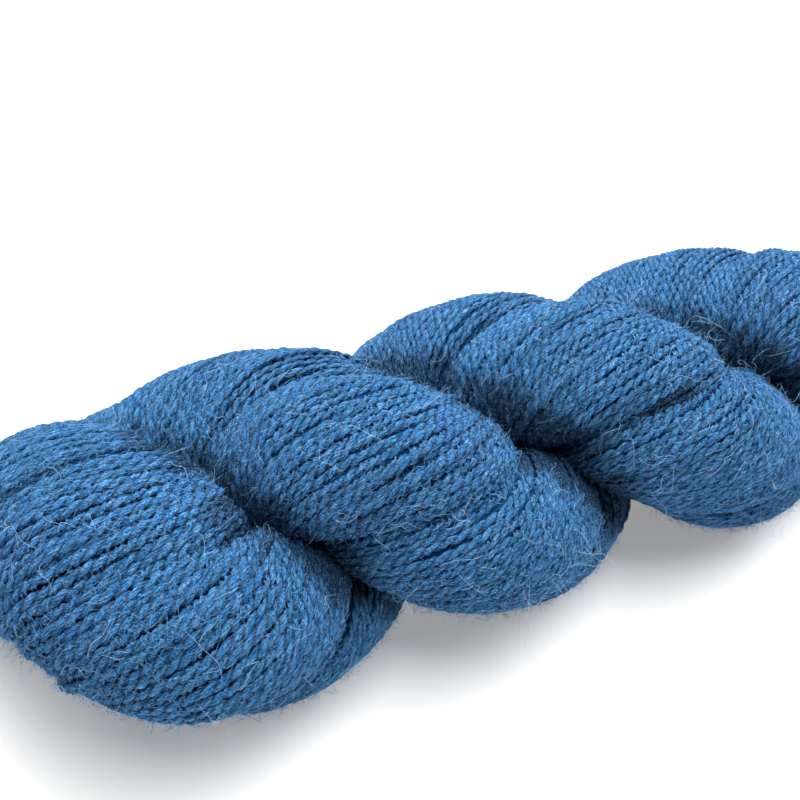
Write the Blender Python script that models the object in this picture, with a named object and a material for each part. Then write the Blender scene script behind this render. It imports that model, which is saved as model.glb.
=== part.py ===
"""Skein of yarn: one solid of its wound form.

A hank is a ring of many turns of yarn. It was twisted into a rope and doubled,
so two strands now lie twisted round each other and turn back at both ends.
Each strand keeps the first twist: two rounded halves with a groove between.
X runs along the skein, -Y is its front, Z is up, the floor is z = 0.
"""
import math

import bmesh
import bpy
import numpy as np

MM = 0.001

# ---- rope: where the two strands lie side by side, from left to right (mm) ----
CROSS_X = (-142.5, -64.7, -2.1, 65.0, 130.5)
LAY_WIDTH = 20.3               # strand axis to rope axis, front to back
AXIS_LOW = 17.6                # height of a strand's axis where it runs underneath
AXIS_HIGH = 52.0               # height of a strand's axis where it runs over the top
REAR_LEAN = (2.0, 9.0)         # each strand comes up at the back this far to the left

# ---- strand: section and its own twist (mm) ----
STRAND_WIDE = 24.2             # half width
STRAND_TALL = 19.2             # half height, as the wool settles under its own weight
FULLNESS = (1.12, 1.03, 1.034, 0.98)   # of each rise over the top, from the left
YARN_LAY = 85.0                # length in which the yarn turns once round the strand
GROOVE_DEPTH = 0.2             # share of the half width
GROOVE_SHARPNESS = 2.4
GROOVE_PHASE = (math.radians(124.0), math.radians(30.0))

# ---- turned-back ends (mm) ----
LEFT_TURN = (-76.4, 23.5)      # x where the strands start to close in, and how far they go on
RIGHT_TURN = (112.0, 27.0)
LEFT_SWING = 23.0              # how far the left end lies to the back
RIGHT_SWING = 6.3
LEFT_THINNING = 0.23
RIGHT_THINNING = 0.12
LEFT_DROP = 0.88               # share of its height that the rope's axis loses at an end
RIGHT_DROP = 0.7
SQUEEZE_FROM = 0.6             # on the inside of a bend, as a share of its radius
SQUEEZE_TO = 0.8

# ---- wool packed inside, so that no hollow is left (mm) ----
CORE_RADIUS = 12.0             # midway between the strands
CORE_FLATNESS = 0.8

# ---- settling on the floor (mm) ----
BOTTOM_SAG = 1.15              # the lowest wool sags this much
BOTTOM_DRAW_IN = 0.075         # and lies this share nearer the middle
SAG_REACH = 18.0

RINGS = 196
SIDES = 28
CORE_RINGS = 40
CORE_SIDES = 12


def wave_angle(x):
    """Angle of the first strand round the rope: pi more at each crossing."""
    v = np.array(CROSS_X)
    th = math.pi * np.arange(len(v))
    d = np.gradient(th, v)
    xx = np.clip(x, v[0], v[-1])
    i = np.clip(np.searchsorted(v, xx) - 1, 0, len(v) - 2)
    h = v[i + 1] - v[i]
    t = (xx - v[i]) / h
    t2, t3 = t * t, t * t * t
    return ((2 * t3 - 3 * t2 + 1) * th[i] + (t3 - 2 * t2 + t) * h * d[i]
            + (3 * t2 - 2 * t3) * th[i + 1] + (t3 - t2) * h * d[i + 1]
            + np.minimum(x - v[0], 0) * d[0] + np.maximum(x - v[-1], 0) * d[-1])


def ease(t):
    t = np.clip(t, 0, 1)
    return t * t * (3 - 2 * t)


def strand_axis(first, count=600):
    """Axis of one strand, left turn to right turn, and the thinning along it."""
    (xl, ll), (xr, lr) = LEFT_TURN, RIGHT_TURN
    left = xl - ll * np.sin(np.linspace(math.pi / 2, 0, count // 6, endpoint=False))
    mid = np.linspace(xl, xr, count)
    right = xr + lr * np.sin(np.linspace(0, math.pi / 2, count // 6 + 1)[1:])
    x = np.concatenate([left, mid, right])
    close_l = np.sqrt(np.clip(1 - (np.maximum(xl - x, 0) / ll) ** 2, 0, 1))
    close_r = np.sqrt(np.clip(1 - (np.maximum(x - xr, 0) / lr) ** 2, 0, 1))
    close = close_l * close_r
    th = wave_angle(x) + (0 if first else math.pi)
    y = LAY_WIDTH * close * np.cos(th)
    y += LEFT_SWING * ease((xl + 14 - x) / (ll + 14)) + RIGHT_SWING * ease((x - xr + 20) / (lr + 20))
    rise = (AXIS_HIGH - AXIS_LOW) / 2
    drop = LEFT_DROP * (1 - close_l ** 2) + RIGHT_DROP * (1 - close_r ** 2)
    z = AXIS_LOW + rise * (1 - drop) + rise * close * np.sin(th)
    thin = (1 - LEFT_THINNING * (1 - close_l ** 2)) * (1 - RIGHT_THINNING * (1 - close_r ** 2))
    for k, full in enumerate(FULLNESS):
        if (k % 2 == 0) == first:
            near = np.clip(np.abs(wave_angle(x) / math.pi - k - 0.5), 0, 1)
            thin *= 1 + (full - 1) * np.cos(near * math.pi / 2) ** 2
    x = x - REAR_LEAN[0 if first else 1] * close ** 2 * np.clip(np.cos(th), 0, 1) ** 2
    return np.stack([x, y, z], 1), thin


def strand_ring():
    """The whole ring of rope: first strand to the right, second one back to the left."""
    a, ka = strand_axis(True)
    b, kb = strand_axis(False)
    half = len(a) // 2
    pts = np.concatenate([a[half:], b[-2::-1], a[1:half]])
    thin = np.concatenate([ka[half:], kb[-2::-1], ka[1:half]])
    step = np.linalg.norm(np.roll(pts, -1, 0) - pts, axis=1)
    s = np.concatenate([[0], np.cumsum(step)])
    total = s[-1]
    want = np.linspace(0, total, RINGS, endpoint=False)
    closed = np.concatenate([pts, pts[:1]])
    axis = np.stack([np.interp(want, s, closed[:, k]) for k in range(3)], 1)
    thin = np.interp(want, s, np.concatenate([thin, thin[:1]]))
    return axis, thin, want, total


def unit(v):
    return v / np.linalg.norm(v, axis=-1, keepdims=True)


def build_strands():
    axis, thin, s, total = strand_ring()
    n = len(axis)
    tang = unit(np.roll(axis, -1, 0) - np.roll(axis, 1, 0))
    # frames carried along the axis without turning
    u = np.zeros_like(tang)
    u[0] = unit(np.cross((0, 0, 1), tang[0]))
    for i in range(1, n):
        v = u[i - 1] - tang[i] * (u[i - 1] @ tang[i])
        u[i] = unit(v)
    w = np.cross(tang, u)
    side = unit(np.cross((0, 0, 1), tang))
    level = np.unwrap(np.arctan2((side * w).sum(1), (side * u).sum(1)))
    # material angle: fixed by the twist in the long runs, carried through the turns
    x = axis[:, 0]
    run = (x > LEFT_TURN[0] + 4) & (x < RIGHT_TURN[0] - 4)
    forward = tang[:, 0] > 0
    turn = np.zeros(n)
    known = np.zeros(n, bool)
    for first in (True, False):
        m = run & (forward == first)
        along = np.where(first & (s > total / 2), s - total, s)
        ref = along[m][np.argmin(np.abs(x[m]))]
        turn[m] = level[m] + GROOVE_PHASE[0 if first else 1] - 2 * math.pi * (along[m] - ref) / YARN_LAY
        known |= m
    idx = np.flatnonzero(known)
    last = idx[0]
    for i in idx[1:]:
        if i > last + 1:
            natural = turn[last] - 2 * math.pi * (s[i] - s[last]) / YARN_LAY
            shift = math.pi * round((natural - turn[i]) / math.pi)
            turn[i:] += shift
            k = np.arange(last + 1, i)
            turn[k] = turn[last] + (turn[i] - turn[last]) * (s[k] - s[last]) / (s[i] - s[last])
        last = i
    phi = np.linspace(0, 2 * math.pi, SIDES, endpoint=False)
    groove = GROOVE_DEPTH * (1 - np.abs(np.cos(phi))) ** GROOVE_SHARPNESS
    # the grooves close where the strands turn back
    fade = ease((x - LEFT_TURN[0] + 8) / 20) * ease((RIGHT_TURN[0] - x) / 20)
    radius = STRAND_WIDE * (1 - groove[None, :] * fade[:, None])
    ang = turn[:, None] + phi[None, :]
    off = np.cos(ang)[..., None] * u[:, None] + np.sin(ang)[..., None] * w[:, None]
    off *= (radius * thin[:, None])[..., None]
    off[..., 2] *= STRAND_TALL / STRAND_WIDE
    # inside a tight turn the wool is squeezed: no point goes past the centre of the bend
    bend = (np.roll(tang, -1, 0) - np.roll(tang, 1, 0)) / (2 * total / n)
    inward = (off * bend[:, None]).sum(2)
    over = np.maximum(inward - SQUEEZE_FROM, 0)
    room = SQUEEZE_TO - SQUEEZE_FROM
    less = over - room * np.tanh(over / room)
    off -= bend[:, None] * (less / (bend ** 2).sum(1)[:, None])[..., None]
    verts = axis[:, None] + off
    sag = np.exp(-(np.maximum(verts[..., 2], 0) / SAG_REACH) ** 2)
    verts[..., 1] *= 1 - BOTTOM_DRAW_IN * sag
    verts[..., 2] -= BOTTOM_SAG * sag
    verts *= MM
    # the ring closes where the first strand's run starts: line up its last ring with its first
    seam = np.array([np.linalg.norm(np.roll(verts[-1], k, 0) - verts[0]).sum() for k in range(SIDES)])
    return verts, int(np.argmin(seam))


def add_core(bm):
    """Closed tube midway between the strands, so that no hollow is left inside."""
    a, _ = strand_axis(True)
    b, _ = strand_axis(False)
    mid = (a + b) / 2
    pick = np.linspace(6, len(mid) - 7, CORE_RINGS).astype(int)
    rings = []
    for k, i in enumerate(pick):
        r = CORE_RADIUS * math.sin(math.pi * (k + 1) / (CORE_RINGS + 1)) ** 0.1
        ring = []
        for j in range(CORE_SIDES):
            t = 2 * math.pi * (j + 0.37) / CORE_SIDES
            off = (0, r * math.cos(t), CORE_FLATNESS * r * math.sin(t))
            ring.append(bm.verts.new((mid[i] + off) * MM))
        rings.append(ring)
    for p, q in zip(rings, rings[1:]):
        for j in range(CORE_SIDES):
            m = (j + 1) % CORE_SIDES
            bm.faces.new((p[j], p[m], q[m], q[j]))
    bm.faces.new(rings[0][::-1])
    bm.faces.new(rings[-1])


def strand_object():
    verts, seam = build_strands()
    n = len(verts)
    bm = bmesh.new()
    grid = [[bm.verts.new(p) for p in ring] for ring in verts.tolist()]
    for i in range(n):
        a = grid[i]
        b = grid[(i + 1) % n]
        k = 0 if i < n - 1 else -seam
        for j in range(SIDES):
            q = (j + 1) % SIDES
            bm.faces.new((a[j], a[q], b[(q + k) % SIDES], b[(j + k) % SIDES]))
    add_core(bm)
    # the frame's origin is under the middle of the skein
    for k in (0, 1):
        at = [v.co[k] for v in bm.verts]
        middle = (min(at) + max(at)) / 2
        for v in bm.verts:
            v.co[k] -= middle
    bmesh.ops.recalc_face_normals(bm, faces=bm.faces)
    bmesh.ops.triangulate(bm, faces=bm.faces)
    mesh = bpy.data.meshes.new("skein")
    bm.to_mesh(mesh)
    bm.free()
    obj = bpy.data.objects.new("skein", mesh)
    bpy.context.scene.collection.objects.link(obj)
    return obj


def floor_cutter():
    """Box below the floor: the wool that would sink is pressed flat."""
    bm = bmesh.new()
    bmesh.ops.create_cube(bm, size=1)
    for v in bm.verts:
        v.co.x *= 0.5
        v.co.y *= 0.3
        v.co.z = v.co.z * 0.06 - 0.03
    mesh = bpy.data.meshes.new("floor_cutter")
    bm.to_mesh(mesh)
    bm.free()
    obj = bpy.data.objects.new("floor_cutter", mesh)
    obj.hide_render = True
    obj.display_type = "WIRE"
    bpy.context.scene.collection.objects.link(obj)
    return obj


def wool_material():
    mat = bpy.data.materials.new("blue_wool")
    mat.use_nodes = True
    bsdf = mat.node_tree.nodes["Principled BSDF"]
    bsdf.inputs["Base Color"].default_value = (0.028, 0.122, 0.319, 1)
    bsdf.inputs["Roughness"].default_value = 0.9
    return mat


for old in list(bpy.data.objects):
    bpy.data.objects.remove(old, do_unlink=True)

skein = strand_object()
skein.data.materials.append(wool_material())
cut = skein.modifiers.new("settle", "BOOLEAN")
cut.operation = "DIFFERENCE"
cut.solver = "EXACT"
cut.use_self = True
cut.object = floor_cutter()
for face in skein.data.polygons:
    face.use_smooth = True
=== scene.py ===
"""Skein of denim-blue two-ply wool, lying on a pale floor.

A hank of many turns of yarn was twisted into a rope, doubled and tucked in, so that two
strands lie twisted round each other and turn back at both ends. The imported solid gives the
wound form. Here it is dressed with the turns of yarn, their plies and the loose fibres.
"""
import math

import bpy
import numpy as np
from mathutils import Matrix, Vector
from mathutils.bvhtree import BVHTree


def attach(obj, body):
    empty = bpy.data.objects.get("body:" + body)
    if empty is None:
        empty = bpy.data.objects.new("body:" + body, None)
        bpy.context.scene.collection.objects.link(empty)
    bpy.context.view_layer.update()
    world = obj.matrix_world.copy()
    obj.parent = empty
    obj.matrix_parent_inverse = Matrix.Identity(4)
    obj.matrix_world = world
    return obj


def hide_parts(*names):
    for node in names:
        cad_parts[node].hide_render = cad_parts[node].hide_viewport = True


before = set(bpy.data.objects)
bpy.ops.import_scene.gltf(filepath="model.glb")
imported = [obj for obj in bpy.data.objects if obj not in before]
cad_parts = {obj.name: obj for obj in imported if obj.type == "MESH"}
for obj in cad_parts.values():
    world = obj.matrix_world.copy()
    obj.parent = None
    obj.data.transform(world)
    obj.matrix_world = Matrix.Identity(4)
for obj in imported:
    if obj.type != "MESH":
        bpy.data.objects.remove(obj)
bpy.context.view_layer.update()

# ---- Camera ----
# Close to the skein and above its front, looking to the right and down, so that both ends
# are cut off by the edges of the square picture.
LOOK_AT = Vector((-0.01410, 0.03547, 0.020))
CAMERA_TURN, CAMERA_RISE, CAMERA_ROLL = (math.radians(a) for a in (-22.7, 38.951, -1.139))
CAMERA_AWAY = 0.2353

back = Vector((math.sin(CAMERA_TURN) * math.cos(CAMERA_RISE),
               -math.cos(CAMERA_TURN) * math.cos(CAMERA_RISE), math.sin(CAMERA_RISE)))
level = (-back).cross(Vector((0, 0, 1))).normalized()
upward = level.cross(-back)
right = level * math.cos(CAMERA_ROLL) + upward * math.sin(CAMERA_ROLL)
upward = upward * math.cos(CAMERA_ROLL) - level * math.sin(CAMERA_ROLL)
lens = bpy.data.cameras.new("camera")
lens.lens = 34.70
lens.shift_x = -0.00994
lens.shift_y = 0.02056
lens.clip_start = 0.001
camera = bpy.data.objects.new("camera", lens)
bpy.context.scene.collection.objects.link(camera)
camera.matrix_world = Matrix.Translation(LOOK_AT + back * CAMERA_AWAY) @ Matrix(
    (right, upward, back)).transposed().to_4x4()
bpy.context.scene.camera = camera

# ---- Wool inside the two strands ----
# The turns of yarn that lie deeper than the first layer. They show only as the dark wool at the
# bottom of the gaps between yarns, its darkness painted shade, so they are one closed skin on each
# strand's line.
MM = 0.001
CROSS_X = (-142.5, -64.7, -2.1, 65.0, 130.5)     # where the strands lie side by side (mm)
LAY_WIDTH, AXIS_LOW, AXIS_HIGH = 20.3, 17.6, 52.0
REAR_LEAN = (2.0, 9.0)
STRAND_WIDE, STRAND_TALL = 24.2, 19.2            # half width and half height
FULLNESS = (1.12, 1.03, 1.034, 0.98)
YARN_LAY = 85.0                                  # the yarn goes once round the strand in this
GROOVE_DEPTH, GROOVE_SHARPNESS = 0.2, 2.4
GROOVE_PHASE = (math.radians(124.0), math.radians(30.0))
LEFT_TURN, RIGHT_TURN = (-76.4, 23.5), (112.0, 27.0)
LEFT_SWING, RIGHT_SWING = 23.0, 6.3
LEFT_THINNING, RIGHT_THINNING = 0.23, 0.12
LEFT_DROP, RIGHT_DROP = 0.88, 0.7
SQUEEZE_FROM, SQUEEZE_TO = 0.6, 0.8
BOTTOM_SAG, BOTTOM_DRAW_IN, SAG_REACH = 1.15, 0.075, 18.0
TO_FRAME = np.array((-19.766, -2.255, 0.0))        # to the frame's origin, under the middle
RINGS = 2400


def ease(t):
    t = np.clip(t, 0, 1)
    return t * t * (3 - 2 * t)


def unit(v):
    return v / np.linalg.norm(v, axis=-1, keepdims=True)


def wave_angle(x):
    """Angle of the first strand round the rope: half a turn more at each crossing."""
    v = np.array(CROSS_X)
    th = math.pi * np.arange(len(v))
    d = np.gradient(th, v)
    xx = np.clip(x, v[0], v[-1])
    i = np.clip(np.searchsorted(v, xx) - 1, 0, len(v) - 2)
    h = v[i + 1] - v[i]
    t = (xx - v[i]) / h
    t2, t3 = t * t, t * t * t
    return ((2 * t3 - 3 * t2 + 1) * th[i] + (t3 - 2 * t2 + t) * h * d[i]
            + (3 * t2 - 2 * t3) * th[i + 1] + (t3 - t2) * h * d[i + 1]
            + np.minimum(x - v[0], 0) * d[0] + np.maximum(x - v[-1], 0) * d[-1])


def strand_axis(first, count=3000):
    """Middle line of one strand from its left turn to its right one, and its fullness."""
    (xl, ll), (xr, lr) = LEFT_TURN, RIGHT_TURN
    left = xl - ll * np.sin(np.linspace(math.pi / 2, 0, count // 6, endpoint=False))
    mid = np.linspace(xl, xr, count)
    right_end = xr + lr * np.sin(np.linspace(0, math.pi / 2, count // 6 + 1)[1:])
    x = np.concatenate([left, mid, right_end])
    close_l = np.sqrt(np.clip(1 - (np.maximum(xl - x, 0) / ll) ** 2, 0, 1))
    close_r = np.sqrt(np.clip(1 - (np.maximum(x - xr, 0) / lr) ** 2, 0, 1))
    close = close_l * close_r
    th = wave_angle(x) + (0 if first else math.pi)
    y = LAY_WIDTH * close * np.cos(th)
    y += LEFT_SWING * ease((xl + 14 - x) / (ll + 14))
    y += RIGHT_SWING * ease((x - xr + 20) / (lr + 20))
    rise = (AXIS_HIGH - AXIS_LOW) / 2
    drop = LEFT_DROP * (1 - close_l ** 2) + RIGHT_DROP * (1 - close_r ** 2)
    z = AXIS_LOW + rise * (1 - drop) + rise * close * np.sin(th)
    full = (1 - LEFT_THINNING * (1 - close_l ** 2)) * (1 - RIGHT_THINNING * (1 - close_r ** 2))
    for k, more in enumerate(FULLNESS):
        if (k % 2 == 0) == first:
            near = np.clip(np.abs(wave_angle(x) / math.pi - k - 0.5), 0, 1)
            full = full * (1 + (more - 1) * np.cos(near * math.pi / 2) ** 2)
    x = x - REAR_LEAN[0 if first else 1] * close ** 2 * np.clip(np.cos(th), 0, 1) ** 2
    return np.stack([x, y, z], 1), full


def strand_frames():
    """The ring of rope: middle line, two cross directions, the twist so far, and its bends."""
    a, ka = strand_axis(True)
    b, kb = strand_axis(False)
    half = len(a) // 2
    pts = np.concatenate([a[half:], b[-2::-1], a[1:half + 1]])
    full = np.concatenate([ka[half:], kb[-2::-1], ka[1:half + 1]])
    s = np.concatenate([[0], np.cumsum(np.linalg.norm(np.diff(pts, axis=0), axis=1))])
    total = s[-1]
    want = np.linspace(0, total, RINGS, endpoint=False)
    axis = np.stack([np.interp(want, s, pts[:, k]) for k in range(3)], 1)
    full = np.interp(want, s, full)
    wide = 6
    smooth = sum(np.roll(axis, k, 0) for k in range(-wide, wide + 1)) / (2 * wide + 1)
    tang = unit(np.roll(smooth, -1, 0) - np.roll(smooth, 1, 0))
    u = np.zeros_like(tang)
    u[0] = unit(np.cross((0, 0, 1), tang[0]))
    for i in range(1, RINGS):
        u[i] = unit(u[i - 1] - tang[i] * (u[i - 1] @ tang[i]))
    w = np.cross(tang, u)
    side = unit(np.cross((0, 0, 1), tang))
    flat = np.unwrap(np.arctan2((side * w).sum(1), (side * u).sum(1)))
    x = axis[:, 0]
    run = (x > LEFT_TURN[0] + 4) & (x < RIGHT_TURN[0] - 4)
    turn = np.zeros(RINGS)
    known = np.zeros(RINGS, bool)
    for first in (True, False):
        m = run & ((tang[:, 0] > 0) == first)
        along = np.where(first & (want > total / 2), want - total, want)
        ref = along[m][np.argmin(np.abs(x[m]))]
        turn[m] = flat[m] + GROOVE_PHASE[0 if first else 1]
        turn[m] -= 2 * math.pi * (along[m] - ref) / YARN_LAY
        known |= m
    idx = np.flatnonzero(known)
    last = idx[0]
    for i in idx[1:]:
        if i > last + 1:
            natural = turn[last] - 2 * math.pi * (want[i] - want[last]) / YARN_LAY
            turn[i:] += math.pi * round((natural - turn[i]) / math.pi)
            k = np.arange(last + 1, i)
            part = (want[k] - want[last]) / (want[i] - want[last])
            turn[k] = turn[last] + (turn[i] - turn[last]) * part
        last = i
    bend = (np.roll(tang, -1, 0) - np.roll(tang, 1, 0)) / (2 * total / RINGS)
    bend = sum(np.roll(bend, k, 0) for k in range(-wide, wide + 1)) / (2 * wide + 1)
    # where the ring closes, a turn at this angle goes on as the turn at that angle plus this
    end_u = unit(u[-1] - tang[0] * (u[-1] @ tang[0]))
    step_on = turn[-1] + (turn[-1] - turn[-2]) + math.atan2(end_u @ w[0], end_u @ u[0]) - turn[0]
    return dict(axis=axis, full=full, u=u, w=w, turn=turn, bend=bend, x=x, total=total,
                half_turns=round(step_on / math.pi))


ROPE = strand_frames()


def on_strand(ring, phi, sink):
    """Points on the strands' skin, sunk by so many mm, at ring numbers and angles phi."""
    i = np.floor(ring).astype(int) % RINGS
    x = ROPE["x"][i]
    fade = ease((x - LEFT_TURN[0] + 8) / 20) * ease((RIGHT_TURN[0] - x) / 20)
    groove = GROOVE_DEPTH * (1 - np.abs(np.cos(phi))) ** GROOVE_SHARPNESS
    radius = STRAND_WIDE * (1 - groove * fade) * ROPE["full"][i]
    ang = ROPE["turn"][i] + phi
    off = np.cos(ang)[..., None] * ROPE["u"][i] + np.sin(ang)[..., None] * ROPE["w"][i]
    off = off * radius[..., None]
    off[..., 2] *= STRAND_TALL / STRAND_WIDE
    reach = np.linalg.norm(off, axis=-1)
    off *= (1 - sink / reach)[..., None]
    bend = ROPE["bend"][i]
    inward = (off * bend).sum(-1)
    over = np.maximum(inward - SQUEEZE_FROM, 0)
    room = SQUEEZE_TO - SQUEEZE_FROM
    less = over - room * np.tanh(over / room)
    off -= bend * (less / np.maximum((bend ** 2).sum(-1), 1e-12))[..., None]
    p = ROPE["axis"][i] + off
    sag = np.exp(-(np.maximum(p[..., 2], 0) / SAG_REACH) ** 2)
    p[..., 1] *= 1 - BOTTOM_DRAW_IN * sag
    p[..., 2] -= BOTTOM_SAG * sag
    return p + TO_FRAME


def srgb(code):
    """A colour written as sRGB hex, as the linear values that shaders take."""
    v = [int(code[i:i + 2], 16) / 255 for i in (1, 3, 5)]
    return tuple(c / 12.92 if c <= 0.04045 else ((c + 0.055) / 1.055) ** 2.4 for c in v) + (1,)


def add(tree, kind, inputs=None, **settings):
    """One node in a tree, with its settings, its input values and its links."""
    made = tree.nodes.new(kind)
    for key, value in settings.items():
        setattr(made, key, value)
    for key, value in (inputs or {}).items():
        if isinstance(value, bpy.types.NodeSocket):
            tree.links.new(value, made.inputs[key])
        else:
            made.inputs[key].default_value = value
    return made


def material(name):
    """An empty node material, its tree and its output."""
    mat = bpy.data.materials.new(name)
    mat.use_nodes = True
    mat.node_tree.nodes.clear()
    return mat, mat.node_tree, add(mat.node_tree, "ShaderNodeOutputMaterial")


def tie(tree, a, b):
    tree.links.new(a, b)


# Wool in the shade of the yarns on top of it: the same dye, painted navy as painted shade,
# with a ridge for each deeper yarn and loose fibre between them.
inner_wool_painted_shade, t, out = material("wool_inside_painted_shade")
where = add(t, "ShaderNodeTexCoord")
across = add(t, "ShaderNodeSeparateXYZ", {0: where.outputs["UV"]})
clumps = add(t, "ShaderNodeMapping", {"Vector": where.outputs["UV"], "Scale": (5.0, 0.9, 1.0)})
clumps = add(t, "ShaderNodeTexNoise", {"Vector": clumps.outputs["Vector"], "Scale": 1.0,
                                       "Detail": 3.0, "Distortion": 0.6})
stray = add(t, "ShaderNodeMath", {0: clumps.outputs["Fac"], 1: 0.3,
                                  2: across.outputs["X"]}, operation="MULTIPLY_ADD")
swing = add(t, "ShaderNodeMath", {0: stray.outputs[0], 1: 2 * math.pi}, operation="MULTIPLY")
ridge = add(t, "ShaderNodeMath", {0: swing.outputs[0]}, operation="COSINE")
slant = add(t, "ShaderNodeMath", {0: across.outputs["Y"], 1: 2 * math.pi / 3.5,
                                  2: swing.outputs[0]}, operation="MULTIPLY_ADD")
ply = add(t, "ShaderNodeMath", {0: slant.outputs[0]}, operation="SINE")
both = add(t, "ShaderNodeMath", {0: ridge.outputs[0], 1: -0.35, 2: clumps.outputs["Fac"]},
           operation="MULTIPLY_ADD")
both = add(t, "ShaderNodeMath", {0: ply.outputs[0], 1: 0.2, 2: both.outputs[0]},
           operation="MULTIPLY_ADD")
# painted shade: these navy tones stand for the shade of the yarns on top
tone = add(t, "ShaderNodeMix", {"Factor": both.outputs[0], "A": srgb("#08203c"),
                                "B": srgb("#123c66")}, data_type="RGBA")
relief = add(t, "ShaderNodeBump", {"Height": both.outputs[0], "Strength": 1.0,
                                   "Distance": 0.0006})
wool = add(t, "ShaderNodeBsdfPrincipled", {
    "Base Color": tone.outputs["Result"], "Roughness": 0.95, "Specular IOR Level": 0.0,
    "Normal": relief.outputs["Normal"]})
tie(t, wool.outputs["BSDF"], out.inputs["Surface"])

TURNS = 39                       # turns of yarn side by side round each strand
EXTRA_TWIST = 3                  # turns more in the whole ring than the strands' grooves make
STEP = 2 * math.pi / TURNS
FRONT_TWIST = 0.4                # of a turn more where the left end comes round to the front
FRONT_FROM, FRONT_OVER = 0.775, 0.085    # where that is, as parts of the ring's length
CROWD_AT, CROWD_REACH = 0.8175, 0.033    # where the turns crowd there
CORE_SINK, CROWD_SINK = 0.95, 0.5        # mm under the skin, and mm more where they crowd
CORE_LOWEST = 1.2                # mm above the floor
CORE_RINGS, CORE_SIDES = 240, 32


def drift(part):
    """Turns that the yarn has gone round beyond the grooves, at this part of the ring."""
    return EXTRA_TWIST * part + FRONT_TWIST * (ease((part - FRONT_FROM) / FRONT_OVER) - part)


def crowding(part):
    """How closely the turns crowd here: they do where the left end comes round to the front."""
    return np.exp(-((part - CROWD_AT) / CROWD_REACH) ** 4)


ring = np.repeat((np.arange(CORE_RINGS) * RINGS / CORE_RINGS)[:, None], CORE_SIDES, 1)
phi = np.repeat((np.arange(CORE_SIDES) * 2 * math.pi / CORE_SIDES)[None], CORE_RINGS, 0)
skin = on_strand(ring, phi, CORE_SINK + CROWD_SINK * crowding(ring / RINGS))
skin[..., 2] = np.maximum(skin[..., 2], CORE_LOWEST)
faces = []
for i in range(CORE_RINGS):
    k = 0 if i < CORE_RINGS - 1 else (ROPE["half_turns"] % 2) * CORE_SIDES // 2
    a, b = i * CORE_SIDES, (i + 1) % CORE_RINGS * CORE_SIDES
    for j in range(CORE_SIDES):
        m = (j + 1) % CORE_SIDES
        faces.append((a + j, a + m, b + (m + k) % CORE_SIDES, b + (j + k) % CORE_SIDES))
mesh = bpy.data.meshes.new("wool_inside")
mesh.from_pydata((skin.reshape(-1, 3) * MM).tolist(), [], faces)
lie = mesh.uv_layers.new(name="lie").data       # X counts the yarns, Y is mm along the ring
for n, face in enumerate(mesh.polygons):
    i, j = divmod(n, CORE_SIDES)
    for corner, (di, dj) in zip(face.loop_indices, ((0, 0), (0, 1), (1, 1), (1, 0))):
        round_it = 2 * math.pi * (j + dj) / CORE_SIDES
        part = (i + di) / CORE_RINGS
        lie[corner].uv = ((round_it + 2 * math.pi * drift(part)) / STEP, ROPE["total"] * part)
mesh.materials.append(inner_wool_painted_shade)
mesh.shade_smooth()
core = bpy.data.objects.new("wool_inside", mesh)
bpy.context.scene.collection.objects.link(core)
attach(core, "root")
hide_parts("skein")

# ---- Turns of yarn ----
# The outer layer of the hank: two-ply wool yarn about 2 mm thick, wound in many turns that lie side
# by side on both strands. Each turn dives under where the strands touch, and is left out there.
YARN_RADIUS = 1.18               # mm
PRESSED = 0.64                   # of that, across the layer: the yarns lie pressed flat
WAIST = 0.60                     # of that, between the plies
PLY_LAY = 6.0                    # mm in which the two plies go once round each other
RINGS_PER_LAY = 5.0
YARN_SINK = 0.72                 # middle of a yarn under the skin of the solid
YARN_LOWEST = 1.02               # mm above the floor, for its middle
HIDDEN, DEEPEST = 2.3, 2.2       # nearest skin and own sink beyond which other wool covers it
LEAST_LENGTH = 4.0               # mm; a shorter one that shows is left out
UNDERSIDE, UNDERSIDE_RATE = -0.75, 0.45  # facing down by more than this it has fewer rings
WANDER, BUNCHING = 0.33, 0.30    # how far it strays, alone and with its neighbours (steps)
WAVE = 0.13                      # the same, in short crimps
LIFT, SWELL = 0.24, 0.25         # how far it rises, alone and with its neighbours (mm)
# where turns crowd: how far a third of them sink (mm), and the rest swell and shift (steps)
UNDER_SINK, CROWD_SWELL, CROWD_SHIFT = 0.8, 0.10, 0.25
# the fold beside one turn on top of the left end: its place, and how far it opens and sinks
FOLD_AT, FOLD_REACH, FOLD_TURN, FOLD_WIDTH = 0.7955, 0.0125, 24, 1.6
FOLD_SHIFT, FOLD_SINK, FOLD_EDGE_SINK = 0.45, 0.65, 0.4
# how far off wool still shuts a point in (m), what each look adds, and its worth in mm of depth
# the shut-in measure, counted as depth, darkens the yarn's colour as painted shade in the creases
LOOK_REACH, LOOK_SHARE, SHUT_IN_DEPTH = 0.018, 0.30, 1.8
# slack lengths that come up and cross over their neighbours: half length, rise and top (mm),
# and how many steps they cross
LOOSE_TURNS, LOOSE_REACH, LOOSE_RISE, LOOSE_TOP = 80, (9, 20), 3.4, (0.8, 1.25)
LOOSE_CROSSING, LOOSE_GIRTH = 1.6, 0.96
chance = np.random.default_rng(28)


def ripple(count, waves, across=None):
    """Smooth closed noise along the ring: one row for each turn, about -1 to 1."""
    s = np.arange(RINGS) / RINGS * 2 * math.pi
    rows = np.zeros((count, RINGS))
    parts = 9
    for _ in range(parts):
        m = chance.integers(waves[0], waves[1] + 1)
        if across is None:
            phase = chance.uniform(0, 2 * math.pi, count)
            size = chance.uniform(0.3, 1.0, count)
        else:
            p = chance.integers(across[0], across[1] + 1) * chance.choice((-1, 1))
            phase = p * np.arange(count) * 2 * math.pi / count + chance.uniform(0, 2 * math.pi)
            size = np.full(count, chance.uniform(0.4, 1.0))
        rows += size[:, None] * np.cos(m * s[None] + phase[:, None])
    return rows / (0.5 * parts)


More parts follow.
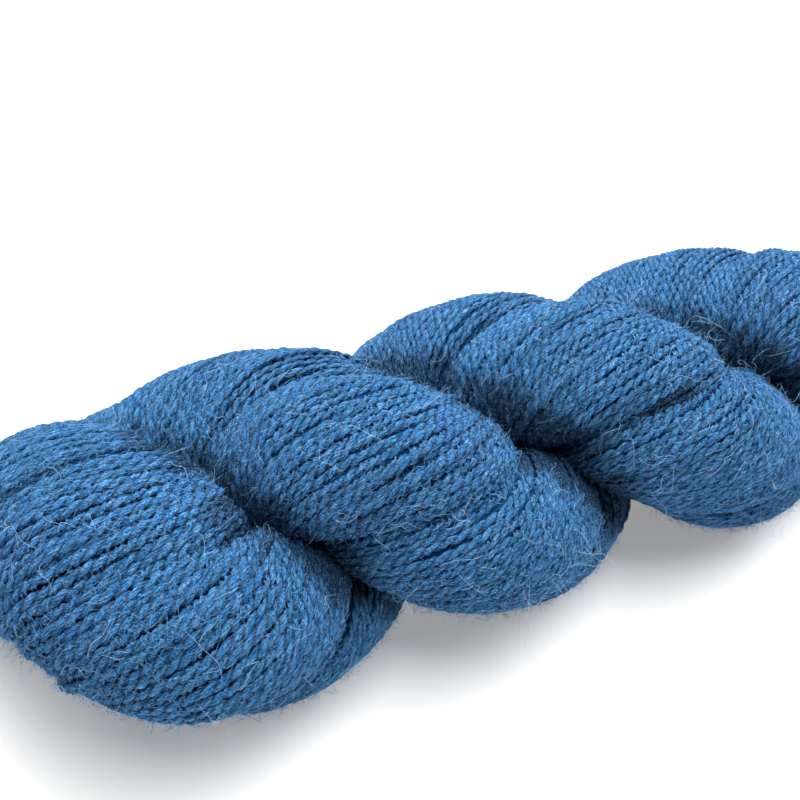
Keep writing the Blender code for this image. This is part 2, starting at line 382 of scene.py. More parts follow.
phi = STEP * np.arange(TURNS)[:, None] - 2 * math.pi * drift(np.arange(RINGS) / RINGS)
own = ripple(TURNS, (22, 60))
group = ripple(TURNS, (4, 16), (2, 6))
crimp = ripple(TURNS, (110, 230))
phi_turns = phi + STEP * (WANDER * own + BUNCHING * group + WAVE * crimp)
sink = YARN_SINK - LIFT * ripple(TURNS, (20, 90)) - SWELL * ripple(TURNS, (5, 18), (3, 8))
thick = 1.02 + 0.07 * ripple(TURNS, (40, 120)) + 0.07 * ripple(TURNS, (150, 400))
# where they crowd, every third one goes under the others
crowd = crowding(np.arange(RINGS) / RINGS)
third = np.arange(TURNS)[:, None] % 3
sink += np.where(third == 0, UNDER_SINK, 0.0) * crowd
thick = thick * (1 + CROWD_SWELL * crowd)
phi_turns += STEP * CROWD_SHIFT * np.where(third == 0, 0, np.where(third == 1, -1, 1)) * crowd
# on top of that end a bundle parts from the rest, with a fold between them, dark by its real shade
# and by the painted shade that comes with its depth
parting = np.exp(-((np.arange(RINGS) / RINGS - FOLD_AT) / FOLD_REACH) ** 4)
off_fold = np.arange(TURNS)[:, None] - FOLD_TURN
aside = np.exp(-(np.abs(off_fold) - 1) / FOLD_WIDTH)
phi_turns += STEP * FOLD_SHIFT * np.sign(off_fold) * aside * parting
sink += np.where(off_fold == 0, FOLD_SINK, FOLD_EDGE_SINK * aside) * parting

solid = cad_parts["skein"].data
skin_tree = BVHTree.FromPolygons([v.co[:] for v in solid.vertices],
                                 [p.vertices[:] for p in solid.polygons])


def shut_in(line, way, shown):
    """How far each point that shows is shut in by the wool round it, from 0 to 1; it darkens the
    yarn as painted shade.
    """
    along = unit(np.roll(line, -1, 0) - np.roll(line, 1, 0))
    aside = np.cross(way, along)
    start = (line + 1.5 * way) * MM
    blocked = np.zeros(RINGS)
    for a in np.arange(6) * math.pi / 3:
        aim = unit(way + 1.2 * (math.cos(a) * along + math.sin(a) * aside))
        for i in range(0, RINGS, 3):
            if shown[i] and skin_tree.ray_cast(Vector(start[i]), Vector(aim[i]), LOOK_REACH)[0]:
                blocked[i:i + 3] += LOOK_SHARE
    return np.minimum(sum(np.roll(blocked, k) for k in range(-6, 7)) / 13, 1)


def trace(phi_line, sink_line, girth):
    """The parts that show of one turn: points, ways, thickness and twist of the plies."""
    found = []
    ring = np.arange(RINGS)
    line = on_strand(ring, phi_line, sink_line)
    way = unit(on_strand(ring, phi_line, sink_line - 1.0) - line)
    line[:, 2] = np.maximum(line[:, 2], YARN_LOWEST + 0.3 * np.abs(sink_line - YARN_SINK))
    depth = np.zeros(RINGS)
    for i in range(0, RINGS, 2):
        depth[i:i + 2] = skin_tree.find_nearest(Vector(line[i] * MM))[3] / MM
    shown = (depth < HIDDEN) & (sink_line < DEEPEST)
    # shut in by the wool round it, a point counts as deeper: painted shade in the yarn's colour,
    # and no fibres
    depth += SHUT_IN_DEPTH * shut_in(line, way, shown)
    # a closed turn is cut where it is hidden, and followed from there
    start = int(np.argmin(shown))
    order = (np.arange(RINGS + 1) + start) % RINGS
    line, way, shown, girth, depth = (v[order] for v in (line, way, shown, girth, depth))
    s = np.concatenate([[0], np.cumsum(np.linalg.norm(np.diff(line, axis=0), axis=1))])
    edges = np.flatnonzero(np.diff(shown.astype(int)))
    begin = chance.uniform(0, 2 * math.pi)
    for a, b in zip(edges[::2], edges[1::2]):
        if s[b] - s[a] < LEAST_LENGTH:
            continue
        a, b = max(a - 3, 0), min(b + 4, RINGS)
        # the plies need close rings, but not where the yarn lies on the floor
        under = way[a:b + 1, 2] < UNDERSIDE
        rate = np.where(under, UNDERSIDE_RATE, 1.0) * RINGS_PER_LAY / PLY_LAY
        count = np.concatenate([[0], np.cumsum(np.diff(s[a:b + 1]) * rate[1:])])
        n = max(int(round(count[-1])), 4)
        at = np.interp(np.linspace(0, count[-1], n + 1), count, s[a:b + 1])
        points = np.stack([np.interp(at, s, line[:, c]) for c in range(3)], 1)
        found.append(dict(
            points=points, heading=unit(np.gradient(points, axis=0)),
            way=unit(np.stack([np.interp(at, s, way[:, c]) for c in range(3)], 1)),
            girth=np.interp(at, s, girth), depth=np.interp(at, s, depth), along=at,
            shade=chance.uniform(0, 1),
            twist=begin - 2 * math.pi * (at / PLY_LAY + 0.2 * np.sin(at / 11.0 + begin))))
    return found


def yarn_lengths():
    """Every length of yarn that shows: the parts of the turns, then the slack ones."""
    found = []
    for k in range(TURNS):
        found += trace(phi_turns[k], sink[k], thick[k])
    for _ in range(LOOSE_TURNS):
        k, at = chance.integers(TURNS), chance.integers(RINGS)
        reach = chance.uniform(*LOOSE_REACH) / ROPE["total"] * RINGS
        gap = ((np.arange(RINGS) - at + RINGS / 2) % RINGS - RINGS / 2) / reach
        rise = LOOSE_RISE * np.cos(np.clip(gap, -1, 1) * math.pi / 2) ** 0.7
        across = STEP * chance.uniform(-LOOSE_CROSSING, LOOSE_CROSSING) * np.clip(gap, -1, 1)
        up = np.maximum(YARN_SINK + DEEPEST - rise, YARN_SINK - chance.uniform(*LOOSE_TOP))
        found += trace(phi_turns[k] + STEP * 0.5 + across, up, LOOSE_GIRTH * thick[k])
    return found


# Wool yarn, dyed in the hank: one denim blue that takes a little lighter or deeper from yarn
# to yarn and fibre to fibre, with a soft sheen from fibre ends and no gloss.
# Painted shade darkens it in the furrow between its plies, and where it goes down into a crease or
# is shut in by wool.
yarn_dye_and_painted_shade, t, out = material("wool_yarn_dye_and_painted_shade")
round_it = add(t, "ShaderNodeAttribute", attribute_name="round")
length_of = add(t, "ShaderNodeAttribute", attribute_name="along")
shade_of = add(t, "ShaderNodeAttribute", attribute_name="shade")
turned_by = add(t, "ShaderNodeAttribute", attribute_name="twist")
# the plies go round the yarn, but their fibres run along it
untwisted = add(t, "ShaderNodeVectorRotate", {"Vector": round_it.outputs["Vector"],
                                              "Angle": turned_by.outputs["Fac"]},
                rotation_type="Z_AXIS")
split = add(t, "ShaderNodeSeparateXYZ", {"Vector": untwisted.outputs["Vector"]})
far = add(t, "ShaderNodeMath", {0: shade_of.outputs["Fac"], 1: 500.0}, operation="MULTIPLY")
run_on = add(t, "ShaderNodeMath", {0: length_of.outputs["Fac"], 1: 0.075, 2: far.outputs[0]},
             operation="MULTIPLY_ADD")
fibre_place = add(t, "ShaderNodeCombineXYZ", {"X": split.outputs["X"], "Y": split.outputs["Y"],
                                              "Z": run_on.outputs[0]})
fibres = add(t, "ShaderNodeTexNoise", {"Vector": fibre_place.outputs[0], "Scale": 5.5,
                                       "Detail": 3.0, "Roughness": 0.65, "Distortion": 0.35})
where = add(t, "ShaderNodeTexCoord")
heather = add(t, "ShaderNodeTexNoise", {"Vector": where.outputs["Object"], "Scale": 260.0,
                                        "Detail": 2.0})
cloud = add(t, "ShaderNodeTexNoise", {"Vector": where.outputs["Object"], "Scale": 28.0,
                                      "Detail": 1.0})
base = add(t, "ShaderNodeValToRGB", {"Fac": fibres.outputs["Fac"]})
for stop, place, code in zip((0, 1, None, None), (0.38, 0.64, 0.46, 0.55),
                             ("#042a52", "#88bce8", "#0c5694", "#2a7cbc")):
    point = base.color_ramp.elements[stop] if stop is not None else \
        base.color_ramp.elements.new(place)
    point.position = place
    point.color = srgb(code)
teal = add(t, "ShaderNodeMapRange", {"Value": heather.outputs["Fac"], "From Min": 0.50,
                                     "From Max": 0.75, "To Max": 0.45})
tint_and_painted_shade = add(t, "ShaderNodeMix", {"Factor": teal.outputs[0], "A": base.outputs["Color"],
                                  "B": srgb("#2d7a92")}, data_type="RGBA")
violet = add(t, "ShaderNodeMapRange", {"Value": cloud.outputs["Fac"], "From Min": 0.50,
                                       "From Max": 0.80, "To Max": 0.35})
tint_and_painted_shade = add(t, "ShaderNodeMix", {"Factor": violet.outputs[0], "A": tint_and_painted_shade.outputs["Result"],
                                  "B": srgb("#4060ab")}, data_type="RGBA")
# painted shade: the furrow between the two plies is painted darker, as it is in shade
in_furrow = add(t, "ShaderNodeSeparateXYZ", {"Vector": round_it.outputs["Vector"]})
in_furrow = add(t, "ShaderNodeMath", {0: in_furrow.outputs["Y"]}, operation="ABSOLUTE")
furrow = add(t, "ShaderNodeMapRange", {"Value": in_furrow.outputs[0], "From Min": 0.0,
                                       "From Max": 0.58, "To Min": 0.92, "To Max": 0.0})
tint_and_painted_shade = add(t, "ShaderNodeMix", {"Factor": furrow.outputs[0], "A": tint_and_painted_shade.outputs["Result"],
                                  "B": srgb("#06264c")}, data_type="RGBA")
# painted shade: a yarn that goes down into a crease, or is shut in by the wool round it, is painted
# darker
how_deep = add(t, "ShaderNodeAttribute", attribute_name="depth")
crease = add(t, "ShaderNodeMapRange", {"Value": how_deep.outputs["Fac"], "From Min": 0.95,
                                       "From Max": 1.7, "To Max": 0.95})
tint_and_painted_shade = add(t, "ShaderNodeMix", {"Factor": crease.outputs[0], "A": tint_and_painted_shade.outputs["Result"],
                                  "B": srgb("#041e3d")}, data_type="RGBA")
lightness = add(t, "ShaderNodeMapRange", {"Value": shade_of.outputs["Fac"], "To Min": 0.86,
                                          "To Max": 1.12})
dye_and_painted_shade = add(t, "ShaderNodeHueSaturation", {"Color": tint_and_painted_shade.outputs["Result"],
                                          "Value": lightness.outputs[0]})
# single pale fibres: the lines where a stretched noise passes through round values
spread = add(t, "ShaderNodeVectorMath", {0: fibre_place.outputs[0], 1: (1.0, 1.0, 2.6)},
             operation="MULTIPLY")
field = add(t, "ShaderNodeTexNoise", {"Vector": spread.outputs[0], "Scale": 2.6, "Detail": 1.0,
                                      "Distortion": 0.9})
level = add(t, "ShaderNodeMath", {0: field.outputs["Fac"], 1: 9.0}, operation="MULTIPLY")
level = add(t, "ShaderNodeMath", {0: level.outputs[0], 1: 1.0}, operation="PINGPONG")
single = add(t, "ShaderNodeMapRange", {"Value": level.outputs[0], "From Min": 0.0,
                                       "From Max": 0.30, "To Min": 0.6, "To Max": 0.0})
dye_and_painted_shade = add(t, "ShaderNodeMix", {"Factor": single.outputs[0], "A": dye_and_painted_shade.outputs["Color"],
                                "B": srgb("#86bbea")}, data_type="RGBA")
fibre_relief = add(t, "ShaderNodeBump", {"Height": fibres.outputs["Fac"], "Strength": 1.0,
                                         "Distance": 0.0006})
fibre_relief = add(t, "ShaderNodeBump", {"Height": single.outputs[0], "Strength": 0.6,
                                         "Distance": 0.0001,
                                         "Normal": fibre_relief.outputs["Normal"]})
wool = add(t, "ShaderNodeBsdfPrincipled", {
    "Base Color": dye_and_painted_shade.outputs["Result"], "Roughness": 0.85, "Specular IOR Level": 0.08,
    "Sheen Weight": 0.10, "Sheen Roughness": 0.5, "Sheen Tint": srgb("#5b97c6"),
    "Normal": fibre_relief.outputs["Normal"]})
tie(t, wool.outputs["BSDF"], out.inputs["Surface"])


def new_tree(name, inputs):
    """An empty Geometry Nodes tree with a geometry input, named sizes and an output."""
    tree = bpy.data.node_groups.new(name, "GeometryNodeTree")
    tree.interface.new_socket("Geometry", in_out="INPUT", socket_type="NodeSocketGeometry")
    for label, value in inputs.items():
        kind = "NodeSocketInt" if isinstance(value, int) else "NodeSocketFloat"
        tree.interface.new_socket(label, in_out="INPUT", socket_type=kind).default_value = value
    tree.interface.new_socket("Geometry", in_out="OUTPUT", socket_type="NodeSocketGeometry")
    return tree, add(tree, "NodeGroupInput"), add(tree, "NodeGroupOutput")


def named(tree, kind, name):
    return add(tree, "GeometryNodeInputNamedAttribute", {"Name": name}, data_type=kind)


# A two-lobed section swept along each length, turning once in PLY_LAY, so that both plies show.
yarn_tree, given, made = new_tree("two_ply_yarn", {"Yarn Radius": 0.001, "Waist": 0.6,
                                                   "Pressed": 0.7})
curve = add(yarn_tree, "GeometryNodeMeshToCurve", {"Mesh": given.outputs["Geometry"]})
twist = named(yarn_tree, "FLOAT", "twist")
girth = named(yarn_tree, "FLOAT", "girth")
turned = add(yarn_tree, "GeometryNodeSetCurveTilt", {"Curve": curve.outputs[0],
                                                     "Tilt": twist.outputs[0]})
section = add(yarn_tree, "GeometryNodeCurvePrimitiveCircle", {"Resolution": 6, "Radius": 1.0})
spot = add(yarn_tree, "GeometryNodeInputPosition")
marked = add(yarn_tree, "GeometryNodeStoreNamedAttribute", {
    "Geometry": section.outputs["Curve"], "Name": "round", "Value": spot.outputs[0]},
    data_type="FLOAT_VECTOR", domain="POINT")
apart = add(yarn_tree, "ShaderNodeSeparateXYZ", {0: spot.outputs[0]})
lobe = add(yarn_tree, "ShaderNodeMath", {0: apart.outputs["Y"]}, operation="ABSOLUTE")
pinch = add(yarn_tree, "ShaderNodeMapRange", {"Value": lobe.outputs[0], "To Min":
                                              given.outputs["Waist"], "To Max": 1.08})
pinched = add(yarn_tree, "ShaderNodeVectorMath", {0: spot.outputs[0], "Scale": pinch.outputs[0]},
              operation="SCALE")
shaped = add(yarn_tree, "GeometryNodeSetPosition", {"Geometry": marked.outputs[0],
                                                    "Position": pinched.outputs[0]})
size = add(yarn_tree, "ShaderNodeMath", {0: girth.outputs[0], 1: given.outputs["Yarn Radius"]},
           operation="MULTIPLY")
swept = add(yarn_tree, "GeometryNodeCurveToMesh", {
    "Curve": turned.outputs[0], "Profile Curve": shaped.outputs[0], "Scale": size.outputs[0],
    "Fill Caps": True})
# it is pressed flat across the layer
middle = named(yarn_tree, "FLOAT_VECTOR", "middle")
outwards = named(yarn_tree, "FLOAT_VECTOR", "way_out")
off_middle = add(yarn_tree, "ShaderNodeVectorMath", {0: spot.outputs[0], 1: middle.outputs[0]},
                 operation="SUBTRACT")
rise = add(yarn_tree, "ShaderNodeVectorMath", {0: off_middle.outputs[0],
                                               1: outwards.outputs[0]}, operation="DOT_PRODUCT")
less = add(yarn_tree, "ShaderNodeMath", {0: given.outputs["Pressed"], 1: 1.0},
           operation="SUBTRACT")
less = add(yarn_tree, "ShaderNodeMath", {0: rise.outputs["Value"], 1: less.outputs[0]},
           operation="MULTIPLY")
press = add(yarn_tree, "ShaderNodeVectorMath", {0: outwards.outputs[0], "Scale":
                                                less.outputs[0]}, operation="SCALE")
flat = add(yarn_tree, "GeometryNodeSetPosition", {"Geometry": swept.outputs[0],
                                                  "Offset": press.outputs[0]})
# wool yarn is lumpy: its skin is pushed in and out by up to a tenth of a millimetre
lumps = add(yarn_tree, "ShaderNodeTexNoise", {"Vector": spot.outputs[0], "Scale": 750.0})
push = add(yarn_tree, "ShaderNodeMapRange", {"Value": lumps.outputs["Fac"], "From Min": 0.3,
                                             "From Max": 0.7, "To Min": -0.00014,
                                             "To Max": 0.00014})
skin_way = add(yarn_tree, "GeometryNodeInputNormal")
pushed = add(yarn_tree, "ShaderNodeVectorMath", {0: skin_way.outputs[0], "Scale":
                                                 push.outputs[0]}, operation="SCALE")
lumpy = add(yarn_tree, "GeometryNodeSetPosition", {"Geometry": flat.outputs[0],
                                                   "Offset": pushed.outputs[0]})
soft = add(yarn_tree, "GeometryNodeSetShadeSmooth", {"Geometry": lumpy.outputs[0]})
whole = add(yarn_tree, "GeometryNodeRealizeInstances", {"Geometry": soft.outputs[0]})
dressed = add(yarn_tree, "GeometryNodeSetMaterial", {"Geometry": whole.outputs[0],
                                                     "Material": yarn_dye_and_painted_shade})
tie(yarn_tree, dressed.outputs[0], made.inputs["Geometry"])


def grow(name, mesh, tree, sizes):
    """The plain mesh that a tree makes from a mesh, as a new object at the origin."""
    holder = bpy.data.objects.new(name + "_start", mesh)
    bpy.context.scene.collection.objects.link(holder)
    nodes = holder.modifiers.new("grow", "NODES")
    nodes.node_group = tree
    for item in tree.interface.items_tree:
        if item.item_type == "SOCKET" and item.in_out == "INPUT" and item.name in sizes:
            nodes[item.identifier] = sizes[item.name]
    deps = bpy.context.evaluated_depsgraph_get()
    result = bpy.data.meshes.new_from_object(holder.evaluated_get(deps), depsgraph=deps)
    result.name = name
    holder.modifiers.remove(nodes)
    bpy.data.objects.remove(holder)
    piece = bpy.data.objects.new(name, result)
    bpy.context.scene.collection.objects.link(piece)
    return piece


def put(mesh, name, kind, values):
    data = mesh.attributes.new(name, kind, "POINT").data
    data.foreach_set("vector" if kind == "FLOAT_VECTOR" else "value",
                     np.asarray(values, np.float32).ravel())


lengths = yarn_lengths()
lengths.sort(key=lambda one: one["points"][:, 0].mean())
PIECES = 4
total_rings = sum(len(one["points"]) for one in lengths)
shares = [[] for _ in range(PIECES)]
so_far = 0
for one in lengths:
    shares[min(int(so_far / total_rings * PIECES), PIECES - 1)].append(one)
    so_far += len(one["points"])
yarns = []
for number, share in enumerate(shares, 1):
    points = np.concatenate([one["points"] for one in share])
    edges, first = [], 0
    for one in share:
        n = len(one["points"])
        edges += [(first + i, first + i + 1) for i in range(n - 1)]
        first += n
    mesh = bpy.data.meshes.new(f"yarn_lines_{number}")
    mesh.from_pydata((points * MM).tolist(), edges, [])
    for key in ("girth", "along", "twist", "depth"):
        put(mesh, key, "FLOAT", np.concatenate([one[key] for one in share]))
    put(mesh, "shade", "FLOAT",
        np.concatenate([np.full(len(one["points"]), one["shade"]) for one in share]))
    put(mesh, "middle", "FLOAT_VECTOR", points * MM)
    put(mesh, "way_out", "FLOAT_VECTOR", np.concatenate([one["way"] for one in share]))
    put(mesh, "heading", "FLOAT_VECTOR", np.concatenate([one["heading"] for one in share]))
    yarn = grow(f"yarn_turns_{number}", mesh, yarn_tree,
                {"Yarn Radius": YARN_RADIUS * MM, "Waist": WAIST, "Pressed": PRESSED})
    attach(yarn, "root")
    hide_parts("skein")
    yarns.append(yarn)

# ---- Loose fibres ----
# Wool has fine fibre ends that stand off the yarn: a short nap that lies along it, wisps that
# stray from it, and long hairs that wave above it. Each is a thin closed tube grown from the skin.
NAP = {"Fibres Per Area": 520000.0, "Shortest": 0.0018, "Longest": 0.0050,
       "Fibre Radius": 0.000042, "Lift": 0.24, "Stray": 0.42, "Curl": 0.35, "Waviness": 420.0,
       "Lowest Root": 0.0022, "Points": 3}
WISP = {"Fibres Per Area": 50000.0, "Shortest": 0.0025, "Longest": 0.0060,
        "Fibre Radius": 0.000045, "Lift": 0.40, "Stray": 0.60, "Curl": 0.9, "Waviness": 340.0,
        "Lowest Root": 0.0055, "Points": 5}
HAIR = {"Fibres Per Area": 19000.0, "Shortest": 0.005, "Longest": 0.012,
        "Fibre Radius": 0.000034, "Lift": 0.42, "Stray": 0.9, "Curl": 1.2, "Waviness": 180.0,
        "Lowest Root": 0.016, "Points": 9}

# Single fibres pass light and look paler than the yarn: the same dye, thinly.
loose_wool, t, out = material("dyed_wool_fibre")
where = add(t, "ShaderNodeTexCoord")
patch = add(t, "ShaderNodeTexNoise", {"Vector": where.outputs["Object"], "Scale": 700.0})
tone = add(t, "ShaderNodeMix", {"Factor": patch.outputs["Fac"], "A": srgb("#195c9e"),
                                "B": srgb("#92c4ef")}, data_type="RGBA")
fibre = add(t, "ShaderNodeBsdfPrincipled", {
    "Base Color": tone.outputs["Result"], "Roughness": 0.75, "Specular IOR Level": 0.1,
    "Sheen Weight": 0.1, "Sheen Tint": srgb("#5b97c6")})
tie(t, fibre.outputs["BSDF"], out.inputs["Surface"])

# A long hair stands clear of the rest and catches the light.
pale_wool, t, out = material("dyed_wool_hair")
fibre = add(t, "ShaderNodeBsdfPrincipled", {
    "Base Color": srgb("#a2caef"), "Roughness": 0.6, "Specular IOR Level": 0.3})
tie(t, fibre.outputs["BSDF"], out.inputs["Surface"])

OPEN_SIDE, OPEN_DEPTH = 0.15, 1.25   # a fibre's root faces out by more, and is less deep (mm)
DIP = -0.85                          # of its lift and length, back towards the yarn at its tip
CLEAR = 0.00012                      # m above the floor
fibre_tree, given, made = new_tree("loose_fibres", {**NAP, "Seed": 1})
way_out = named(fibre_tree, "FLOAT_VECTOR", "way_out")
heading = named(fibre_tree, "FLOAT_VECTOR", "heading")
face_out = add(fibre_tree, "GeometryNodeInputNormal")
facing = add(fibre_tree, "ShaderNodeVectorMath", {0: face_out.outputs[0],
                                                  1: way_out.outputs[0]}, operation="DOT_PRODUCT")
spot = add(fibre_tree, "GeometryNodeInputPosition")
height = add(fibre_tree, "ShaderNodeSeparateXYZ", {0: spot.outputs[0]})
open_side = add(fibre_tree, "FunctionNodeCompare", {0: facing.outputs["Value"], 1: OPEN_SIDE},
                data_type="FLOAT", operation="GREATER_THAN")
off_floor = add(fibre_tree, "FunctionNodeCompare", {0: height.outputs["Z"],
                                                    1: given.outputs["Lowest Root"]},
                data_type="FLOAT", operation="GREATER_THAN")
buried = named(fibre_tree, "FLOAT", "depth")
unburied = add(fibre_tree, "FunctionNodeCompare", {0: buried.outputs[0], 1: OPEN_DEPTH},
               data_type="FLOAT", operation="LESS_THAN")
both = add(fibre_tree, "FunctionNodeBooleanMath", {0: open_side.outputs[0],
                                                   1: off_floor.outputs[0]}, operation="AND")
both = add(fibre_tree, "FunctionNodeBooleanMath", {0: both.outputs[0],
                                                   1: unburied.outputs[0]}, operation="AND")
roots = add(fibre_tree, "GeometryNodeDistributePointsOnFaces", {
    "Mesh": given.outputs["Geometry"], "Selection": both.outputs[0],
    "Density": given.outputs["Fibres Per Area"], "Seed": given.outputs["Seed"]})
rooted = add(fibre_tree, "GeometryNodeStoreNamedAttribute", {
    "Geometry": roots.outputs["Points"], "Name": "skin_out", "Value": roots.outputs["Normal"]},
    data_type="FLOAT_VECTOR", domain="POINT")
# a fibre leaves the yarn partly along it, forwards or backwards, partly outwards, partly askew
sense = add(fibre_tree, "FunctionNodeRandomValue", {"Min": -1.0, "Max": 1.0, "Seed": 3},
            data_type="FLOAT")
drawn = add(fibre_tree, "ShaderNodeVectorMath", {0: heading.outputs[0], "Scale":
                                                 sense.outputs[1]}, operation="SCALE")
outward = named(fibre_tree, "FLOAT_VECTOR", "skin_out")
raised = add(fibre_tree, "ShaderNodeVectorMath", {0: outward.outputs[0], "Scale":
                                                  given.outputs["Lift"]}, operation="SCALE")
askew = add(fibre_tree, "FunctionNodeRandomValue", {0: (-1.0, -1.0, -1.0), 1: (1.0, 1.0, 1.0),
                                                    "Seed": 5}, data_type="FLOAT_VECTOR")
swayed = add(fibre_tree, "ShaderNodeVectorMath", {0: askew.outputs[0], "Scale":
                                                  given.outputs["Stray"]}, operation="SCALE")
lean = add(fibre_tree, "ShaderNodeVectorMath", {0: drawn.outputs[0], 1: raised.outputs[0]},
           operation="ADD")
lean = add(fibre_tree, "ShaderNodeVectorMath", {0: lean.outputs[0], 1: swayed.outputs[0]},
           operation="ADD")
aimed = add(fibre_tree, "FunctionNodeAlignRotationToVector", {"Vector": lean.outputs[0]},
            axis="Z")
reach = add(fibre_tree, "FunctionNodeRandomValue", {"Min": given.outputs["Shortest"],
                                                    "Max": given.outputs["Longest"],
                                                    "Seed": 7}, data_type="FLOAT")
straight = add(fibre_tree, "GeometryNodeCurvePrimitiveLine", {"Start": (0, 0, 0),
                                                              "End": (0, 0, 1)})
jointed = add(fibre_tree, "GeometryNodeResampleCurve", {"Curve": straight.outputs[0],
                                                        "Count": given.outputs["Points"]})
planted = add(fibre_tree, "GeometryNodeInstanceOnPoints", {
    "Points": rooted.outputs[0], "Instance": jointed.outputs[0],
    "Rotation": aimed.outputs[0], "Scale": reach.outputs[1]})
grown = add(fibre_tree, "GeometryNodeRealizeInstances", {"Geometry": planted.outputs[0]})
# it waves sideways and sinks back towards the yarn at its tip
along = add(fibre_tree, "GeometryNodeSplineParameter")
waves = add(fibre_tree, "ShaderNodeTexNoise", {"Vector": spot.outputs[0], "Detail": 0.0,
                                               "Scale": given.outputs["Waviness"]})
centred = add(fibre_tree, "ShaderNodeVectorMath", {0: waves.outputs["Color"],
                                                   1: (0.5, 0.5, 0.5)}, operation="SUBTRACT")
swing = add(fibre_tree, "ShaderNodeMath", {0: along.outputs["Length"],
                                           1: given.outputs["Curl"]}, operation="MULTIPLY")
wave = add(fibre_tree, "ShaderNodeVectorMath", {0: centred.outputs[0], "Scale":
                                                swing.outputs[0]}, operation="SCALE")
dip = add(fibre_tree, "ShaderNodeMath", {0: along.outputs["Factor"],
                                         1: along.outputs["Length"]}, operation="MULTIPLY")
lower = add(fibre_tree, "ShaderNodeMath", {0: given.outputs["Lift"], 1: DIP},
            operation="MULTIPLY")
dip = add(fibre_tree, "ShaderNodeMath", {0: dip.outputs[0], 1: lower.outputs[0]},
          operation="MULTIPLY")
sunk = add(fibre_tree, "ShaderNodeVectorMath", {0: outward.outputs[0], "Scale":
                                                dip.outputs[0]}, operation="SCALE")
moved = add(fibre_tree, "ShaderNodeVectorMath", {0: wave.outputs[0], 1: sunk.outputs[0]},
            operation="ADD")
bent = add(fibre_tree, "GeometryNodeSetPosition", {"Geometry": grown.outputs[0],
                                                   "Offset": moved.outputs[0]})
# none goes through the floor
place_of = add(fibre_tree, "ShaderNodeSeparateXYZ", {0: spot.outputs[0]})
floored = add(fibre_tree, "ShaderNodeMath", {0: place_of.outputs["Z"], 1: CLEAR},
              operation="MAXIMUM")
laid = add(fibre_tree, "ShaderNodeCombineXYZ", {"X": place_of.outputs["X"],
                                                "Y": place_of.outputs["Y"],
                                                "Z": floored.outputs[0]})
bent = add(fibre_tree, "GeometryNodeSetPosition", {"Geometry": bent.outputs[0],
                                                   "Position": laid.outputs[0]})
ends = add(fibre_tree, "ShaderNodeMath", {0: along.outputs["Factor"], 1: 0.5},
           operation="SUBTRACT")
ends = add(fibre_tree, "ShaderNodeMath", {0: ends.outputs[0]}, operation="ABSOLUTE")
taper = add(fibre_tree, "ShaderNodeMapRange", {"Value": ends.outputs[0], "From Min": 0.36,
                                               "From Max": 0.5, "To Min": 1.0, "To Max": 0.0})
girth = add(fibre_tree, "ShaderNodeMath", {0: taper.outputs[0],
                                           1: given.outputs["Fibre Radius"]},
            operation="MULTIPLY")
section = add(fibre_tree, "GeometryNodeCurvePrimitiveCircle", {"Resolution": 3, "Radius": 1.0})
swept = add(fibre_tree, "GeometryNodeCurveToMesh", {
    "Curve": bent.outputs[0], "Profile Curve": section.outputs["Curve"],
    "Scale": girth.outputs[0], "Fill Caps": False})
pointed = add(fibre_tree, "GeometryNodeMergeByDistance", {"Geometry": swept.outputs[0],
                                                          "Distance": 0.000001})
soft = add(fibre_tree, "GeometryNodeSetShadeSmooth", {"Geometry": pointed.outputs[0]})
whole = add(fibre_tree, "GeometryNodeRealizeInstances", {"Geometry": soft.outputs[0]})
dressed = add(fibre_tree, "GeometryNodeSetMaterial", {"Geometry": whole.outputs[0],
                                                      "Material": loose_wool})
tie(fibre_tree, dressed.outputs[0], made.inputs["Geometry"])


def joined(name, pieces):
    """One mesh of several pieces, with the attributes that the fibres need."""
    co, faces, ways, heads, depths, first = [], [], [], [], [], 0
    for piece in pieces:
        data = piece.data
        for kind, store in (("way_out", ways), ("heading", heads)):
            v = np.zeros(len(data.vertices) * 3, np.float32)
            data.attributes[kind].data.foreach_get("vector", v)
            store.append(v)
        v = np.zeros(len(data.vertices), np.float32)
        data.attributes["depth"].data.foreach_get("value", v)
        depths.append(v)
        v = np.zeros(len(data.vertices) * 3, np.float32)
        data.vertices.foreach_get("co", v)
        co.append(v.reshape(-1, 3))
        faces += [[first + i for i in p.vertices] for p in data.polygons]
        first += len(data.vertices)
    mesh = bpy.data.meshes.new(name)
    mesh.from_pydata(np.concatenate(co).tolist(), [], faces)
    put(mesh, "way_out", "FLOAT_VECTOR", np.concatenate(ways))
    put(mesh, "heading", "FLOAT_VECTOR", np.concatenate(heads))
    put(mesh, "depth", "FLOAT", np.concatenate(depths))
    return mesh


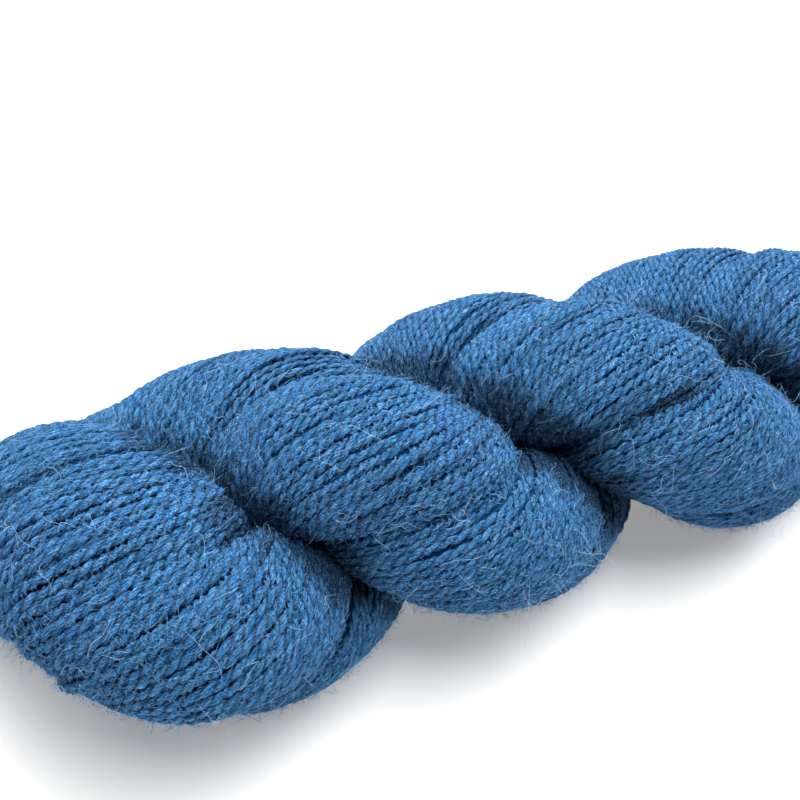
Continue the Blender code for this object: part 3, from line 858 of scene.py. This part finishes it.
for name, pieces, sizes in (("nap_left", yarns[:2], {**NAP, "Seed": 1}),
                            ("nap_right", yarns[2:], {**NAP, "Seed": 2}),
                            ("wisps", yarns, {**WISP, "Seed": 4}),
                            ("long_hairs", yarns, {**HAIR, "Seed": 3})):
    fibres = grow(name, joined(name + "_skin", pieces), fibre_tree, sizes)
    if name == "long_hairs":
        fibres.data.materials[0] = pale_wool
    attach(fibres, "root")
    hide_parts("skein")

# ---- Floor and light ----
# A white sweep of paper and large soft lights overhead and behind, as in a product picture.
paper, t, out = material("white_paper")
grain = add(t, "ShaderNodeTexNoise", {"Vector": add(t, "ShaderNodeTexCoord").outputs["Object"],
                                      "Scale": 900.0})
white = add(t, "ShaderNodeMix", {"Factor": grain.outputs["Fac"], "A": srgb("#f1f0ee"),
                                 "B": srgb("#f5f4f2")}, data_type="RGBA")
sheet = add(t, "ShaderNodeBsdfPrincipled", {
    "Base Color": white.outputs["Result"], "Roughness": 0.8,
    "Emission Color": srgb("#fffdfa"), "Emission Strength": 0.30})
tie(t, sheet.outputs["BSDF"], out.inputs["Surface"])
mesh = bpy.data.meshes.new("floor")
mesh.from_pydata([(-4, -4, 0), (4, -4, 0), (4, 4, 0), (-4, 4, 0)], [], [(0, 1, 2, 3)])
mesh.materials.append(paper)
floor = bpy.data.objects.new("floor", mesh)
bpy.context.scene.collection.objects.link(floor)

world = bpy.data.worlds.new("studio")
bpy.context.scene.world = world
world.use_nodes = True
world.node_tree.nodes["Background"].inputs["Color"].default_value = srgb("#ffffff")
world.node_tree.nodes["Background"].inputs["Strength"].default_value = 0.05


def soft_light(name, place, aim, size, watts):
    lamp = bpy.data.lights.new(name, "AREA")
    lamp.shape = "RECTANGLE"
    lamp.size, lamp.size_y = size
    lamp.energy = watts
    holder = bpy.data.objects.new(name, lamp)
    holder.location = place
    holder.rotation_euler = (Vector(aim) - Vector(place)).to_track_quat("-Z", "Y").to_euler()
    bpy.context.scene.collection.objects.link(holder)


soft_light("overhead", (0.20, -0.11, 1.0), (0, 0, 0.02), (0.9, 0.9), 17.0)
soft_light("window_behind", (0.15, 0.45, 0.80), (0, 0, 0.02), (0.8, 0.8), 12.0)
bpy.context.scene.view_settings.view_transform = "Standard"
